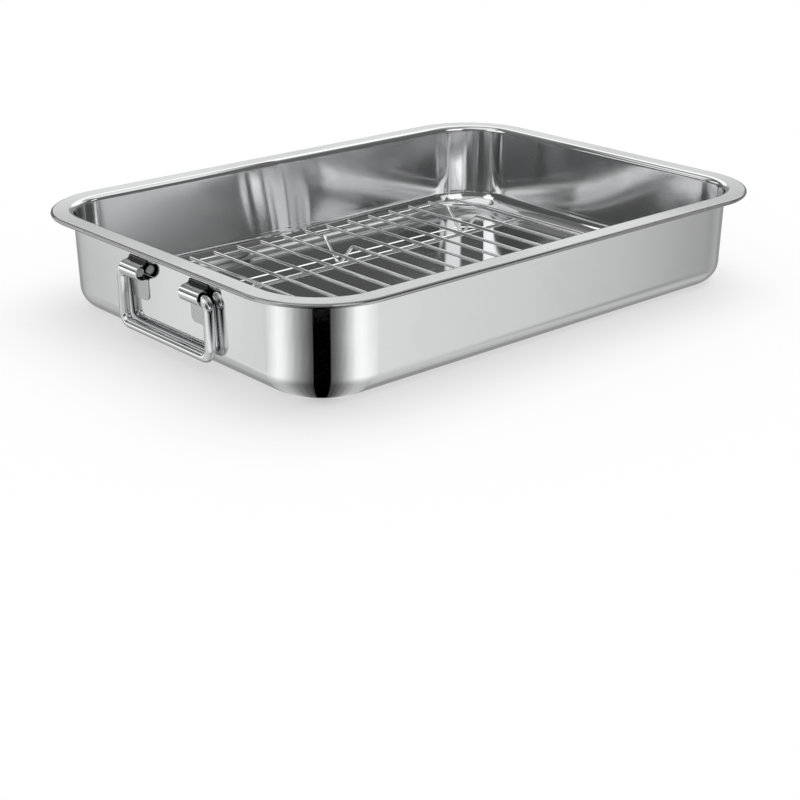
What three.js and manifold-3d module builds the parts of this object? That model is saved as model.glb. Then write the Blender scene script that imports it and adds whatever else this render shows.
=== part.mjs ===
// Deep-drawn roasting pan with two swinging wire handles and a lift-out wire rack.
// Millimetres, +Z up. The origin is the middle of the base, on the surface the pan stands on.
// The long side runs along X, and the two handles hang on the short ends.

import * as THREE from 'three';
import { mergeVertices } from 'three/addons/utils/BufferGeometryUtils.js';
import Module from 'manifold-3d';

// Pan
const panLength = 400;
const panWidth = 295;
const panHeight = 64;
const sheetThickness = 0.8;
const rimWidth = 14;
const rimCornerRadius = 54;
const rimBendRadius = 3.5;
const rimBeadWidth = 4.2;
const rimBeadHeight = 3;
const wallDraft = THREE.MathUtils.degToRad(1.2);
const baseRadius = 14;
const basePanelInset = 64;
const basePanelCornerRadius = 18;
const basePanelStep = 0.6;
const basePanelRamp = 2.4;

// Handles and the sheet straps that carry them
const handleWireDiameter = 6.5;
const handleWidth = 96.5;
const handleDrop = 35.6;
const handleBendRadius = 6.5;
const handlePivotBendRadius = 6.2;
const handleTipRecess = 2.6;
const strapThickness = 0.7;
const strapWidth = 18.5;
const strapSpacing = 63;
const strapCentreDepth = 18.6;
const strapReach = 8.7;
const strapLoopRadius = 5;
const strapBendRadius = 1;
const strapFlareRadius = 2.2;
const strapTailDrop = 18.6;
const strapTailCornerRadius = 4;

// Rack
const rackLength = 300;
const rackWidth = 215;
const rackCornerRadius = 32;
const rackFrameDiameter = 4;
const rackLongDiameter = 3;
const rackLongSpacing = 72;
const rackCrossDiameter = 2.2;
const rackCrossCount = 15;
const rackCrossEndInset = 10.8;
const rackCrossOverhang = 2.4;
const rackFootCornerDepth = 17;
const rackFootSpread = 30;
const rackFootSpacing = 142;
const rackFootBendRadius = 4;

// Gap between pieces that touch, and facet counts
const seatGap = 0.3;
const cornerSteps = 10;
const bendSteps = 6;
const thinWireSides = 8;
const thickWireSides = 12;

const polished = { color: 0xd3d4d5, roughness: 0.16, metalness: 1 };
const bright = { color: 0xdcdddd, roughness: 0.1, metalness: 1 };

const wasm = await Module();
wasm.setup();

const part = new THREE.Group();

function addPiece(name, geometry, finish, parent = part) {
  const piece = new THREE.Mesh(geometry, new THREE.MeshStandardMaterial(finish));
  piece.name = name;
  parent.add(piece);
  return piece;
}

// Points on a circular arc, both ends included, as [across, up] pairs.
function arcPoints(across, up, radius, fromAngle, toAngle, steps) {
  const points = [];
  for (let step = 0; step <= steps; step += 1) {
    const angle = fromAngle + ((toAngle - fromAngle) * step) / steps;
    points.push([across + radius * Math.cos(angle), up + radius * Math.sin(angle)]);
  }
  return points;
}

// One loop of a round-cornered rectangle at a given height, counter-clockwise seen from above.
function rectangleLoop(length, width, radius, height) {
  const corners = [[1, 1], [-1, 1], [-1, -1], [1, -1]];
  return corners.flatMap(([sideX, sideY], corner) => {
    const centreX = sideX * (length / 2 - radius);
    const centreY = sideY * (width / 2 - radius);
    const start = (corner * Math.PI) / 2;
    const arc = arcPoints(centreX, centreY, radius, start, start + Math.PI / 2, cornerSteps);
    return arc.map(([x, y]) => new THREE.Vector3(x, y, height));
  });
}

function geometryFromTriangles(points, triangles) {
  const geometry = new THREE.BufferGeometry();
  const coordinates = points.flatMap((point) => point.toArray());
  geometry.setAttribute('position', new THREE.Float32BufferAttribute(coordinates, 3));
  geometry.setIndex(triangles);
  geometry.computeVertexNormals();
  return geometry;
}

// Skin over a row of loops with equal point counts. A ring joins its last loop to its first,
// and an open row is closed with a fan of triangles over each end.
function loftLoops(loops, ring = false) {
  const count = loops[0].length;
  const points = loops.flat();
  const triangles = [];
  const bands = ring ? loops.length : loops.length - 1;
  for (let band = 0; band < bands; band += 1) {
    const here = band * count;
    const next = ((band + 1) % loops.length) * count;
    for (let index = 0; index < count; index += 1) {
      const after = (index + 1) % count;
      triangles.push(here + index, here + after, next + index);
      triangles.push(here + after, next + after, next + index);
    }
  }
  if (!ring) {
    closeEnd(points, triangles, loops[0], 0, true);
    closeEnd(points, triangles, loops.at(-1), (loops.length - 1) * count, false);
  }
  return geometryFromTriangles(points, triangles);
}

function closeEnd(points, triangles, loop, first, flipped) {
  const middle = new THREE.Vector3();
  loop.forEach((point) => middle.addScaledVector(point, 1 / loop.length));
  const hub = points.length;
  points.push(middle);
  for (let index = 0; index < loop.length; index += 1) {
    const after = (index + 1) % loop.length;
    const edge = flipped ? [after, index] : [index, after];
    triangles.push(hub, first + edge[0], first + edge[1]);
  }
}

// Path through corner points with a round bend at every inner corner, or at all of them when closed.
// There is one bend radius for each bend.
function bentPath(corners, radii, steps, closed = false) {
  const path = [];
  corners.forEach((corner, index) => {
    if (!closed && (index === 0 || index === corners.length - 1)) {
      path.push(corner.clone());
      return;
    }
    const radius = radii[closed ? index : index - 1];
    const before = corners[(index - 1 + corners.length) % corners.length].clone().sub(corner).normalize();
    const after = corners[(index + 1) % corners.length].clone().sub(corner).normalize();
    const halfAngle = before.angleTo(after) / 2;
    const centreWay = before.clone().add(after).normalize();
    const centre = corner.clone().addScaledVector(centreWay, radius / Math.sin(halfAngle));
    const start = corner.clone().addScaledVector(before, radius / Math.tan(halfAngle)).sub(centre);
    const axis = before.clone().cross(after).negate().normalize();
    const turn = Math.PI - 2 * halfAngle;
    for (let step = 0; step <= steps; step += 1) {
      path.push(start.clone().applyAxisAngle(axis, (turn * step) / steps).add(centre));
    }
  });
  return path;
}

// Round wire along a path that lies in one plane, square to the given normal.
function roundWire(path, planeNormal, diameter, sides, closed = false) {
  const loops = path.map((point, index) => {
    const previous = path[closed ? (index - 1 + path.length) % path.length : Math.max(index - 1, 0)];
    const following = path[closed ? (index + 1) % path.length : Math.min(index + 1, path.length - 1)];
    const incoming = point.clone().sub(previous).normalize();
    const outgoing = following.clone().sub(point).normalize();
    const tangent = incoming.add(outgoing).normalize();
    const sideways = planeNormal.clone().cross(tangent);
    return Array.from({ length: sides }, (_, side) => {
      const angle = (2 * Math.PI * (side + 0.5)) / sides;
      const offset = sideways.clone().multiplyScalar(Math.cos(angle));
      offset.addScaledVector(planeNormal, Math.sin(angle));
      return point.clone().addScaledVector(offset, diameter / 2);
    });
  });
  return loftLoops(loops, closed);
}

function solidOf(geometry) {
  const bare = geometry.clone();
  bare.deleteAttribute('normal');
  bare.deleteAttribute('uv');
  const merged = mergeVertices(bare);
  const vertProperties = new Float32Array(merged.attributes.position.array);
  const triVerts = new Uint32Array(merged.index.array);
  return new wasm.Manifold(new wasm.Mesh({ numProp: 3, vertProperties, triVerts }));
}

function geometryOf(solid) {
  const mesh = solid.getMesh();
  const geometry = new THREE.BufferGeometry();
  geometry.setAttribute('position', new THREE.BufferAttribute(mesh.vertProperties, 3));
  geometry.setIndex(new THREE.BufferAttribute(mesh.triVerts, 1));
  geometry.computeVertexNormals();
  return geometry;
}

// The pan's section is a strip of sheet that runs from the base panel out to the base radius, up the
// drafted wall, over the rim bend and along the flange to a rolled bead. Places along it are given as
// [inset from the rim's outer edge, height].
const rimBendInset = rimWidth - rimBendRadius + sheetThickness;
const rimBendHeight = panHeight - rimBendRadius;
const baseBendHeight = basePanelStep + baseRadius;
const bendRadii = rimBendRadius + baseRadius - sheetThickness;
const wallRise = rimBendHeight - baseBendHeight;
const baseBendInset = rimBendInset + (bendRadii + wallRise * Math.sin(wallDraft)) / Math.cos(wallDraft);

// Inset of the wall's outer face at a height between the two bends.
function wallInset(height) {
  const bendSide = (rimBendRadius - sheetThickness) / Math.cos(wallDraft);
  return rimBendInset + bendSide + (rimBendHeight - height) * Math.tan(wallDraft);
}

function panSection() {
  const quarter = Math.PI / 2;
  const half = rimBeadHeight / 2;
  const flangeUnderside = panHeight - sheetThickness;
  const beadInner = rimBeadWidth;
  const facingOut = Math.PI + wallDraft;
  const facingDown = 3 * quarter;
  const innerBaseRadius = baseRadius - sheetThickness;
  const below = [
    [basePanelInset, 0],
    [basePanelInset - basePanelRamp, basePanelStep],
    ...arcPoints(baseBendInset, baseBendHeight, baseRadius, facingDown, facingOut, bendSteps),
    ...arcPoints(rimBendInset, rimBendHeight, rimBendRadius - sheetThickness, wallDraft, quarter, bendSteps),
    [beadInner + half / 2, flangeUnderside],
    [beadInner, panHeight - half],
    [beadInner - half / 2, panHeight - rimBeadHeight],
    ...arcPoints(half, panHeight - half, half, facingDown, quarter, bendSteps),
  ];
  const above = [
    ...arcPoints(rimBendInset, rimBendHeight, rimBendRadius, quarter, wallDraft, bendSteps),
    ...arcPoints(baseBendInset, baseBendHeight, innerBaseRadius, facingOut, facingDown, bendSteps),
    [basePanelInset - basePanelRamp, basePanelStep + sheetThickness],
    [basePanelInset, sheetThickness],
  ];
  return [...below, ...above];
}

function panBody() {
  const loops = panSection().map(([inset, height]) => {
    const onPanel = inset > baseBendInset;
    const panelRadius = basePanelCornerRadius + basePanelInset - inset;
    const radius = onPanel ? panelRadius : rimCornerRadius - inset;
    return rectangleLoop(panLength - 2 * inset, panWidth - 2 * inset, radius, height);
  });
  return loftLoops(loops);
}

addPiece('pan_body', panBody(), polished);

// Each strap is a loop of sheet round the handle wire, open towards the wall. Above the loop its edge flares
// up against the wall, and below the loop it turns down into a tail that lies flat on the wall. The strap's
// own frame has the loop's centre at the origin, +X away from the wall and the strap's width along Y.
const loopInnerRadius = strapLoopRadius - strapThickness;
const loopStandOff = strapReach - strapLoopRadius;

function strapSection() {
  const back = seatGap - loopStandOff;
  const front = back + strapThickness;
  const bendX = front + strapBendRadius;
  const bendY = -strapLoopRadius - strapBendRadius;
  const flareX = front + strapFlareRadius;
  const flareY = strapLoopRadius + strapFlareRadius;
  const quarter = Math.PI / 2;
  const section = new THREE.Shape();
  section.absarc(flareX, flareY, strapFlareRadius + strapThickness, Math.PI, 3 * quarter, false);
  section.absarc(0, 0, loopInnerRadius, quarter, -quarter, true);
  section.absarc(bendX, bendY, strapBendRadius + strapThickness, quarter, Math.PI, false);
  section.lineTo(back, -strapTailDrop);
  section.lineTo(front, -strapTailDrop);
  section.absarc(bendX, bendY, strapBendRadius, Math.PI, quarter, true);
  section.absarc(0, 0, strapLoopRadius, -quarter, quarter, false);
  section.absarc(flareX, flareY, strapFlareRadius, 3 * quarter, Math.PI, true);
  section.closePath();
  return section;
}

// Outline of the strap seen square on to the wall: straight sides and a tail with rounded corners.
function strapOutline() {
  const halfWidth = strapWidth / 2;
  const top = strapLoopRadius + strapFlareRadius + strapThickness;
  const corner = strapTailCornerRadius;
  const cornerHeight = corner - strapTailDrop;
  const outline = new THREE.Shape();
  outline.moveTo(halfWidth, top);
  outline.lineTo(-halfWidth, top);
  outline.absarc(corner - halfWidth, cornerHeight, corner, Math.PI, 1.5 * Math.PI, false);
  outline.absarc(halfWidth - corner, cornerHeight, corner, 1.5 * Math.PI, 2 * Math.PI, false);
  outline.closePath();
  return outline;
}

// The blank is the outline, thick enough to hold the whole section. The strap leans with the wall's draft.
function handleStrap() {
  const folded = new THREE.ExtrudeGeometry(strapSection(), {
    depth: 2 * strapWidth, bevelEnabled: false, curveSegments: thickWireSides,
  });
  folded.translate(0, 0, -strapWidth);
  folded.rotateX(Math.PI / 2);
  const blank = new THREE.ExtrudeGeometry(strapOutline(), {
    depth: 2 * strapReach, bevelEnabled: false, curveSegments: bendSteps,
  });
  blank.translate(0, 0, -strapReach);
  blank.rotateX(Math.PI / 2);
  blank.rotateZ(Math.PI / 2);
  const strap = geometryOf(solidOf(folded).intersect(solidOf(blank)));
  return strap.rotateY(wallDraft);
}

// The handle is one bent wire. Its turned-in ends are the pivots, in the middle of the two loops.
function handleWire() {
  const side = (handleWidth - handleWireDiameter) / 2;
  const tip = (strapSpacing - strapWidth) / 2 + handleTipRecess;
  const corners = [[tip, 0], [side, 0], [side, -handleDrop], [-side, -handleDrop], [-side, 0], [-tip, 0]];
  const radii = [handlePivotBendRadius, handleBendRadius, handleBendRadius, handlePivotBendRadius];
  const path = bentPath(corners.map(([y, z]) => new THREE.Vector3(0, y, z)), radii, bendSteps);
  return roundWire(path, new THREE.Vector3(1, 0, 0), handleWireDiameter, thickWireSides);
}

// Everything on one short end, in a group that is turned half way round for the other end. The handle hangs
// by its upper bends, which rest on the straps' outer edges.
function handleEnd(side, turn) {
  const end = new THREE.Group();
  end.rotation.z = turn;
  part.add(end);
  const loopHeight = panHeight - strapCentreDepth;
  const wallReach = panLength / 2 - wallInset(loopHeight);
  const handle = addPiece(`handle_${side}`, handleWire(), bright, end);
  handle.position.set(wallReach + loopStandOff, 0, loopHeight);
  [['a', 1], ['b', -1]].forEach(([label, sign]) => {
    const strap = addPiece(`handle_strap_${side}_${label}`, handleStrap(), bright, end);
    strap.position.set(wallReach + loopStandOff, (sign * strapSpacing) / 2, loopHeight);
  });
}

handleEnd('left', Math.PI);
handleEnd('right', 0);

// Rack, stacked up from the pan's base panel: feet, then cross wires, with the frame and the two long
// wires under the cross wires.
const rack = new THREE.Group();
part.add(rack);
const footHalfAngle = Math.atan(rackFootSpread / 2 / rackFootCornerDepth);
const footDepth = rackFootCornerDepth - rackFootBendRadius / Math.sin(footHalfAngle) + rackFootBendRadius;
const crossHeight = sheetThickness + seatGap + rackCrossDiameter / 2 + footDepth;
const underCross = crossHeight - rackCrossDiameter / 2 - seatGap;
const frameHeight = underCross - rackFrameDiameter / 2;
const longHeight = underCross - rackLongDiameter / 2;
const frameSpan = { x: rackLength / 2 - rackFrameDiameter / 2, y: rackWidth / 2 - rackFrameDiameter / 2 };
const up = new THREE.Vector3(0, 0, 1);

function rackFrame() {
  const signs = [[1, 1], [-1, 1], [-1, -1], [1, -1]];
  const corners = signs.map(([x, y]) => new THREE.Vector3(x * frameSpan.x, y * frameSpan.y, frameHeight));
  const path = bentPath(corners, corners.map(() => rackCornerRadius), cornerSteps, true);
  return roundWire(path, up, rackFrameDiameter, thickWireSides, true);
}

addPiece('rack_frame', rackFrame(), bright, rack);

// The long wires butt against the frame's two short ends.
function rackLongWire() {
  const reach = frameSpan.x - rackFrameDiameter / 2 - seatGap;
  const path = [new THREE.Vector3(-reach, 0, 0), new THREE.Vector3(reach, 0, 0)];
  return roundWire(path, up, rackLongDiameter, thinWireSides);
}

[['front', -1], ['back', 1]].forEach(([label, sign]) => {
  const wire = addPiece(`rack_long_wire_${label}`, rackLongWire(), bright, rack);
  wire.position.set(0, (sign * rackLongSpacing) / 2, longHeight);
});

// How far a cross wire reaches at a distance along the rack: just past the frame, corners included.
function crossReach(along) {
  const intoCorner = Math.max(Math.abs(along) - (frameSpan.x - rackCornerRadius), 0);
  const cornerSide = Math.sqrt(rackCornerRadius ** 2 - intoCorner ** 2);
  return frameSpan.y - rackCornerRadius + cornerSide + rackCrossOverhang;
}

function crossWire(along, hasFeet) {
  const reach = crossReach(along);
  const corners = [[-reach, 0]];
  if (hasFeet) {
    [-1, 1].forEach((sign) => {
      const foot = (sign * rackFootSpacing) / 2;
      const spread = rackFootSpread / 2;
      corners.push([foot - spread, 0], [foot, -rackFootCornerDepth], [foot + spread, 0]);
    });
  }
  corners.push([reach, 0]);
  const radii = corners.slice(2).map(() => rackFootBendRadius);
  const path = bentPath(corners.map(([y, z]) => new THREE.Vector3(0, y, z)), radii, bendSteps);
  return roundWire(path, new THREE.Vector3(1, 0, 0), rackCrossDiameter, thinWireSides);
}

// The cross wires are spread evenly between the frame's ends. The middle one and the second from each end
// carry the feet.
const lastCross = rackCrossCount - 1;
const crossPitch = (2 * (frameSpan.x - rackCrossEndInset)) / lastCross;
const footWires = [1, Math.floor(lastCross / 2), lastCross - 1];
for (let index = 0; index <= lastCross; index += 1) {
  const along = (index - lastCross / 2) * crossPitch;
  const label = String(index + 1).padStart(2, '0');
  const geometry = crossWire(along, footWires.includes(index));
  const wire = addPiece(`rack_cross_wire_${label}`, geometry, bright, rack);
  wire.position.set(along, 0, crossHeight);
}

export default part;
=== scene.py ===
"""Looks of a stainless roasting pan with two swinging wire handles and a lift-out wire rack.

Lengths are in metres and angles in radians. The part's own frame is kept: X runs along the pan,
Y across it and Z up, with the base panel standing on Z = 0.
"""

import logging
import math
from dataclasses import dataclass, field
from enum import Enum

import bpy
import numpy as np
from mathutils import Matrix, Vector


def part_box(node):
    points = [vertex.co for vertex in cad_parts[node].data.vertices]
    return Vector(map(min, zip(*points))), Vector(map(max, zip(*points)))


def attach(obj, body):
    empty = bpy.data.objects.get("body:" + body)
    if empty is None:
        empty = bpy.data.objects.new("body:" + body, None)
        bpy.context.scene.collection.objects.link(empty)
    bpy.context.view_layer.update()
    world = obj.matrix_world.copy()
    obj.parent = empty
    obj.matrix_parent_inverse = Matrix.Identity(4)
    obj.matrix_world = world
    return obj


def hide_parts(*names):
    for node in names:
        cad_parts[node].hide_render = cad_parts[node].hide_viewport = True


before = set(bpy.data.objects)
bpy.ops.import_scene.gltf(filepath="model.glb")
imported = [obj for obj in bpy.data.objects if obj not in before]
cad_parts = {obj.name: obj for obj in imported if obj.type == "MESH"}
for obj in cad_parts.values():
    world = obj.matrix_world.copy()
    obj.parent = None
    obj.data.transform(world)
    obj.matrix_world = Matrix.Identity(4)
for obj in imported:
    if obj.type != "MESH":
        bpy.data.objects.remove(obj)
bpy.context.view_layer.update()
MM = 0.001
QUARTER = math.pi / 2
# Points closer together than this are one point
SEAM = 1e-7
# Shares of a straight run at which points stand, close together near its ends to keep the bends crisp
SUPPORTED = np.array([0.0, 0.015, 0.06, 0.2, 0.4, 0.6, 0.8, 0.94, 0.985, 1.0])
# Signs of X and Y at the corners of a rectangle, in order round it
CORNERS = ((1, 1), (-1, 1), (-1, -1), (1, -1))
Stops = tuple[tuple[float, float], ...]
log = logging.getLogger("roasting_pan")


class Side(Enum):
    """The two short ends of the pan, by the sign of X."""

    LEFT = -1
    RIGHT = 1


class Grain(Enum):
    """Which way the polishing lines run on a piece: how tightly they repeat along U and along V."""

    ALONG_U = (60.0, 5200.0)
    ALONG_V = (5200.0, 60.0)


def arc(centre: tuple[float, float], radius: float, start: float, end: float, steps: int) -> np.ndarray:
    """Points of a circle's arc in equal steps: centre plus radius times cosine and sine of the angle."""
    angle = np.linspace(start, end, steps + 1)
    return np.stack([centre[0] + radius * np.cos(angle), centre[1] + radius * np.sin(angle)], axis=1)


def run(start: np.ndarray, end: np.ndarray, shares: np.ndarray) -> np.ndarray:
    """Points on a straight run, each the start plus a share, from 0 to 1, of the way to the end."""
    start, end = np.asarray(start, float), np.asarray(end, float)
    return start + shares[:, None] * (end - start)


def chain(*pieces: np.ndarray) -> np.ndarray:
    """Joins runs and arcs end to end and leaves out the points that repeat at the joins.

    Args:
        pieces: Arrays of points.

    Returns:
        One array of points.
    """
    points = np.concatenate(pieces)
    step = np.linalg.norm(np.diff(points, axis=0), axis=1)
    return points[np.concatenate([[True], step > SEAM])]


def travelled(points: np.ndarray) -> np.ndarray:
    """Distance gone along a row of points, from 0 at the first point."""
    return np.concatenate([[0.0], np.cumsum(np.linalg.norm(np.diff(points, axis=0), axis=1))])


def unit(ways: np.ndarray) -> np.ndarray:
    """Vectors divided by their lengths."""
    return ways / np.linalg.norm(ways, axis=-1, keepdims=True)


def strung(arcs: list[np.ndarray], shares: list[np.ndarray]) -> list[np.ndarray]:
    """Strings arcs together by a straight run from each one's end to the next one's start.

    Args:
        arcs: The arcs.
        shares: For each run, the shares of its way at which points stand.

    Returns:
        Arcs and runs by turns.
    """
    pieces = [arcs[0]]
    for here, following, share in zip(arcs, arcs[1:], shares):
        pieces.extend([run(here[-1], following[0], share), following])
    return pieces


def rounded(half: tuple[float, float], radius: float, steps: int, shares: np.ndarray) -> np.ndarray:
    """Rounded rectangle about the origin: four quarter circles joined by straight runs.

    Args:
        half: Half its length and half its width.
        radius: Radius of its corners.
        steps: Steps in each corner.
        shares: Shares of each straight run at which points stand.

    Returns:
        The points, once round.
    """
    inner = half[0] - radius, half[1] - radius
    turned = [
        arc((sx * inner[0], sy * inner[1]), radius, k * QUARTER, (k + 1) * QUARTER, steps)
        for k, (sx, sy) in enumerate(CORNERS)
    ]
    return np.concatenate(strung(turned + turned[:1], [shares] * len(CORNERS))[:-1])


def linked(name: str, points: np.ndarray, faces: list[list[int]], smooth: bool = False) -> bpy.types.Object:
    """Makes a mesh object and links it to the scene.

    Args:
        name: Name of the object and its mesh.
        points: The points, one row each.
        faces: The faces, as lists of point numbers.
        smooth: True where the faces are shaded smooth.

    Returns:
        The object.
    """
    mesh = bpy.data.meshes.new(name)
    mesh.from_pydata(points.tolist(), [], faces)
    mesh.polygons.foreach_set("use_smooth", np.full(len(mesh.polygons), smooth))
    mesh.update()
    made = bpy.data.objects.new(name, mesh)
    bpy.context.scene.collection.objects.link(made)
    return made


def note(piece: bpy.types.Object, mark: str, values: np.ndarray) -> None:
    """Keeps one number for each point of a piece as an attribute of its mesh."""
    made = piece.data.attributes.new(mark, "FLOAT", "POINT")
    made.data.foreach_set("value", values.astype(np.float32))


@dataclass
class Skin:
    """A closed surface: a grid of points whose columns run round and whose end rows are capped or joined."""

    points: np.ndarray  # Grid of points, rows by columns by 3
    u: np.ndarray  # Distance round at each column, with one more value for the seam
    v: np.ndarray  # Distance along at each row
    joined: bool = False  # True where the last row joins the first, False where each end row is closed by a fan
    marks: dict[str, np.ndarray] = field(default_factory=dict)  # Named values of the rows

    def build(self, name: str) -> bpy.types.Object:
        """Makes the mesh object with smooth faces, a UV map of true lengths and the row marks.

        Args:
            name: Name of the object.

        Returns:
            The new object, linked to the scene.
        """
        rows, cols = self.points.shape[:2]
        i = np.arange(rows if self.joined else rows - 1)[:, None]
        j = np.arange(cols)[None, :]
        after = (i + 1) % rows
        beside = (j + 1) % cols
        quads = np.stack([i * cols + j, i * cols + beside, after * cols + beside, after * cols + j], -1).reshape(-1, 4)
        along = np.append(self.v, 2 * self.v[-1] - self.v[-2])
        u_quad = np.stack(np.broadcast_arrays(self.u[j], self.u[j + 1], self.u[j + 1], self.u[j] + 0 * i), -1)
        v_quad = np.stack(np.broadcast_arrays(along[i], along[i], along[i + 1], along[i + 1] + 0 * j), -1)
        uv = np.stack([u_quad, v_quad], -1).reshape(-1, 4, 2)
        points = self.points.reshape(-1, 3)
        if self.joined:
            fans = np.zeros((0, 3), int)
            fan_uv = np.zeros((0, 3, 2))
        else:
            points = np.concatenate([points, [self.points[0].mean(0), self.points[-1].mean(0)]])
            j, beside = np.arange(cols), (np.arange(cols) + 1) % cols
            last = (rows - 1) * cols
            first_fan = np.stack([beside, j, np.full(cols, rows * cols)], 1)
            last_fan = np.stack([last + j, last + beside, np.full(cols, rows * cols + 1)], 1)
            fans = np.concatenate([first_fan, last_fan])
            u_fan = np.stack([self.u[j + 1], self.u[j], self.u[j]], 1)
            ends = np.repeat([self.v[0], self.v[-1]], cols)[:, None] * np.ones(3)
            fan_uv = np.stack([np.concatenate([u_fan, u_fan[:, [1, 0, 2]]]), ends], -1)
        halves = np.concatenate([quads[:, :3], quads[:, [0, 2, 3]], fans])
        a, b, c = (points[halves[:, k]] for k in range(3))
        if np.einsum("ij,ij->i", a, np.cross(b, c)).sum() < 0:
            quads, fans, uv, fan_uv = quads[:, ::-1], fans[:, ::-1], uv[:, ::-1], fan_uv[:, ::-1]
        made = linked(name, points, quads.tolist() + fans.tolist(), smooth=True)
        layer = made.data.uv_layers.new(name="UVMap")
        layer.data.foreach_set("uv", np.concatenate([uv.reshape(-1), fan_uv.reshape(-1)]))
        for mark, values in self.marks.items():
            spread = np.repeat(values, cols)
            if not self.joined:
                spread = np.append(spread, [values[0], values[-1]])
            note(made, mark, spread)
        return made


# Share of a bend's reach at which one more point stands on the straight run beside it
BEND_LEAD = 0.12


def bent(corners: np.ndarray, radii: np.ndarray, steps: int) -> np.ndarray:
    """Centreline of a bent wire: straight runs whose corners are rounded by arcs touching both runs.

    At a corner with a turn t, the arc of radius r starts r tan(t / 2) before the corner, and its points
    are the arc's start plus r sin(a) along the way in plus r (1 - cos(a)) across it, for a from 0 to t.

    Args:
        corners: Ends and corners of the wire.
        radii: Bend radius at each inner corner.
        steps: Steps in each bend.

    Returns:
        The points of the centreline.
    """
    pieces = [corners[:1]]
    for before, corner, after, radius in zip(corners[:-2], corners[1:-1], corners[2:], radii):
        way_in, way_out = unit(corner - before), unit(after - corner)
        turn = math.acos(float(np.clip(way_in @ way_out, -1, 1)))
        across = unit(way_out - way_in * (way_in @ way_out))
        reach = radius * math.tan(turn / 2)
        angle = np.linspace(0, turn, steps + 1)[:, None]
        curve = corner - reach * way_in + radius * (np.sin(angle) * way_in + (1 - np.cos(angle)) * across)
        lead = BEND_LEAD * reach
        pieces.extend([curve[:1] - lead * way_in, curve, curve[-1:] + lead * way_out])
    pieces.append(corners[-1:])
    return chain(*pieces)


@dataclass
class Wire:
    """A round wire with a centreline that lies in one plane."""

    path: np.ndarray
    plane: tuple[float, float, float]  # Unit normal of that plane
    diameter: float
    sides: int = 24  # Number of points round it
    joined: bool = False  # True for a ring, False for a wire with two cut ends
    edge: float = 0.45 * MM  # Radius by which the edge of a cut end is rounded
    sawn_share: float = 0.6  # Share of the edge's radius past which the end counts as sawn

    def skin(self) -> Skin:
        """Surface of the wire: at each point of the centreline, a circle square to the way along.

        Near a cut end the circle's radius falls by edge (1 - sin a) over a length edge (1 - cos a), so the
        end is a flat disc with a rounded edge.

        Returns:
            The closed surface.
        """
        path, radius = self.path, self.diameter / 2
        plane = np.asarray(self.plane, float)
        if self.joined:
            tangent = np.roll(path, -1, 0) - np.roll(path, 1, 0)
            radii = np.full(len(path), radius)
            sawn = np.zeros(len(path))
        else:
            angle = np.linspace(0, QUARTER, num=6)
            back, cut = self.edge * (1 - np.cos(angle)), self.edge * (1 - np.sin(angle))
            head = path[0] + back[:, None] * unit(path[1] - path[0])
            tail = path[-1] + back[::-1, None] * unit(path[-2] - path[-1])
            path = np.concatenate([head, path[1:-1], tail])
            radii = np.concatenate([radius - cut, np.full(len(self.path) - 2, radius), radius - cut[::-1]])
            sawn = (radii < radius - self.sawn_share * self.edge).astype(float)
            tangent = np.gradient(path, axis=0)
        side = np.cross(plane, unit(tangent))
        turn = np.linspace(0, 2 * math.pi, self.sides + 1)
        ring = np.cos(turn[:-1])[None, :, None] * side[:, None] + np.sin(turn[:-1])[None, :, None] * plane
        points = path[:, None] + radii[:, None, None] * ring
        return Skin(points, turn * radius, travelled(path), self.joined, {"sawn": sawn})


class Value:
    """One output of a node, on which arithmetic adds Math nodes."""

    def __init__(self, tree: "NodeTree", socket: bpy.types.NodeSocket) -> None:
        """Keeps the tree and the output socket."""
        self.tree = tree
        self.socket = socket

    def math(self, operation: str, *others: "Value | float", swapped: bool = False) -> "Value":
        """Adds a Math node.

        Args:
            operation: Name of the operation.
            others: The other operands.
            swapped: True where this value is the second operand.

        Returns:
            The node's result.
        """
        operands = [self, *others]
        if swapped:
            operands.reverse()
        return self.tree.node("ShaderNodeMath", {"operation": operation}, dict(enumerate(operands)))

    def __add__(self, other: "Value | float") -> "Value":
        """Sum."""
        return self.math("ADD", other)

    __radd__ = __add__

    def __sub__(self, other: "Value | float") -> "Value":
        """Difference."""
        return self.math("SUBTRACT", other)

    def __rsub__(self, other: float) -> "Value":
        """Difference from a number."""
        return self.math("SUBTRACT", other, swapped=True)

    def __mul__(self, other: "Value | float") -> "Value":
        """Product."""
        return self.math("MULTIPLY", other)

    __rmul__ = __mul__

    def __truediv__(self, other: "Value | float") -> "Value":
        """Quotient."""
        return self.math("DIVIDE", other)

    def __rtruediv__(self, other: float) -> "Value":
        """Quotient of a number."""
        return self.math("DIVIDE", other, swapped=True)


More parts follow.
